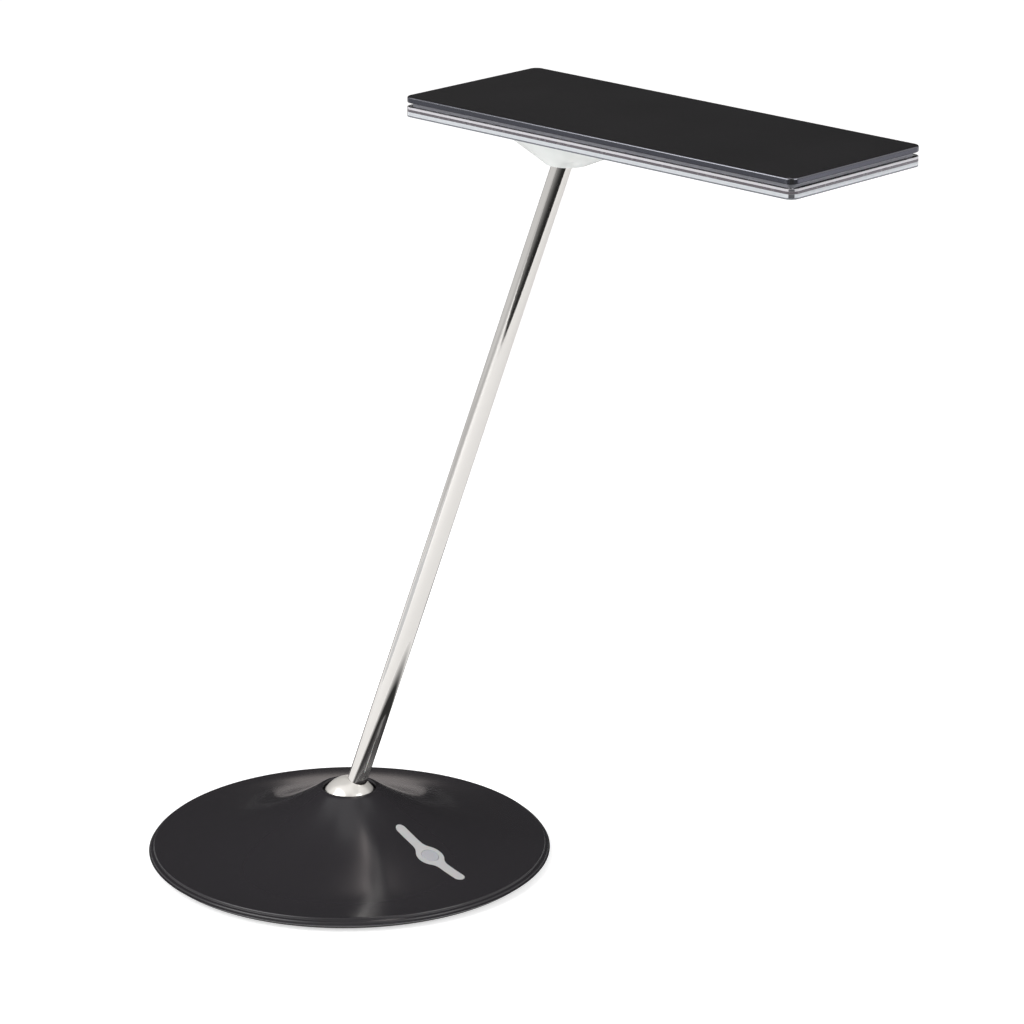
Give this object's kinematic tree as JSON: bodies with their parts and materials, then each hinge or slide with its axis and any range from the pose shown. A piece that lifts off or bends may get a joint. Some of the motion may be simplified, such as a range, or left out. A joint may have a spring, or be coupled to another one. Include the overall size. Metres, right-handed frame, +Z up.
{
  "type": "led table lamp",
  "caption": "Table lamp with a flared round base, a leaning chrome stem on a ball joint and a flat rectangular light head over a clear plate, with a touch bar and dimmer button on the base.",
  "frame": {"origin": "centre of the base's underside, on the surface it stands on", "axes": "+Z up, +X along the head's length at rest and over the touch bar, the power inlet on -X"},
  "size_m": [0.421, 0.2307, 0.446],
  "materials": {
    "dark_shell": "satin dark grey paint",
    "pan": "dark grey paint",
    "rubber": "black rubber",
    "iron": "grey casting",
    "zinc_screw": "zinc plated",
    "socket_plastic": "black, low friction",
    "connector": "black",
    "contact": "plated contact",
    "board": "green board",
    "led_package": "phosphor yellow",
    "bar_plastic": "milky light grey",
    "button_plastic": "satin light grey",
    "lead_sheath": "black sheath",
    "cup_metal": "turned steel",
    "chrome_ball": "polished chrome",
    "steel_pin": "ground pin",
    "chrome_stem": "polished chrome",
    "cup_aluminium": "turned, satin",
    "clear_acrylic": "clear polished acrylic",
    "neck_aluminium": "dark anodised",
    "white_board": "white board",
    "reflector": "white film",
    "black_cover": "satin black"
  },
  "bodies": {
    "root": {"base_cover": "dark_shell", "base_pan": "pan", "rubber_feet": "rubber", "base_weight": "iron", "pan_screws": "zinc_screw", "hub_housing": "socket_plastic", "housing_screws": "zinc_screw", "seat_ring": "socket_plastic", "inlet_socket": "connector", "inlet_pin": "contact", "inlet_board": "board", "inlet_screws": "zinc_screw", "control_board": "board", "board_screws": "zinc_screw", "tact_switch": "connector", "bar_leds": "led_package", "touch_bar": "bar_plastic", "power_lead": "lead_sheath"},
    "swivel": {"swivel_cup": "cup_metal", "cup_cap": "cup_metal", "cap_screws": "zinc_screw", "spigot_nut": "zinc_screw", "swivel_washer": "zinc_screw"},
    "stem": {"base_ball": "chrome_ball", "trunnion_pins": "steel_pin", "stem_tube": "chrome_stem", "stem_bush": "socket_plastic", "stem_lead": "lead_sheath", "lead_grips": "rubber"},
    "upper_ball": {"top_ball": "chrome_ball", "ball_clip": "steel_pin", "cross_pins": "steel_pin"},
    "head_pivot": {"head_cup": "cup_aluminium", "spindle_washer": "zinc_screw", "spindle_nut": "zinc_screw"},
    "head": {"head_boss": "cup_aluminium", "clear_funnel": "clear_acrylic", "clear_plate": "clear_acrylic", "neck_frame": "neck_aluminium", "led_board": "white_board", "leds": "led_package", "reflector_sheet": "reflector", "top_cover": "black_cover", "plate_screws": "zinc_screw"},
    "button": {"dimmer_button": "button_plastic"}
  },
  "joints": [
    {"name": "base_swivel", "type": "hinge", "parent": "root", "child": "swivel", "pos_m": [0, 0, 0.0295], "axis": [0, 0, 1], "range_deg": [-170, 170]},
    {"name": "stem_lean", "type": "hinge", "parent": "swivel", "child": "stem", "pos_m": [0, 0, 0.0295], "axis": [-0.5107, 0.8598, 0], "range_deg": [-52.66, 17.34]},
    {"name": "upper_spin", "type": "hinge", "parent": "stem", "child": "upper_ball", "pos_m": [0.10686, 0.06347, 0.41989], "axis": [0.2608, 0.1549, 0.9529], "range_deg": [-90, 90]},
    {"name": "head_tilt", "type": "hinge", "parent": "upper_ball", "child": "head_pivot", "pos_m": [0.10686, 0.06347, 0.41989], "axis": [-0.5107, 0.8598, 0], "range_deg": [-7.34, 42.66]},
    {"name": "head_swivel", "type": "hinge", "parent": "head_pivot", "child": "head", "pos_m": [0.10686, 0.06347, 0.41989], "axis": [0, 0, 1], "range_deg": [-170, 170]},
    {"name": "dimmer_press", "type": "slide", "parent": "root", "child": "button", "axis": [-0.327, 0, -0.945], "range_m": [0, 0.0005], "stiffness_N_per_m": 600, "springref_m": -0.001}
  ]
}
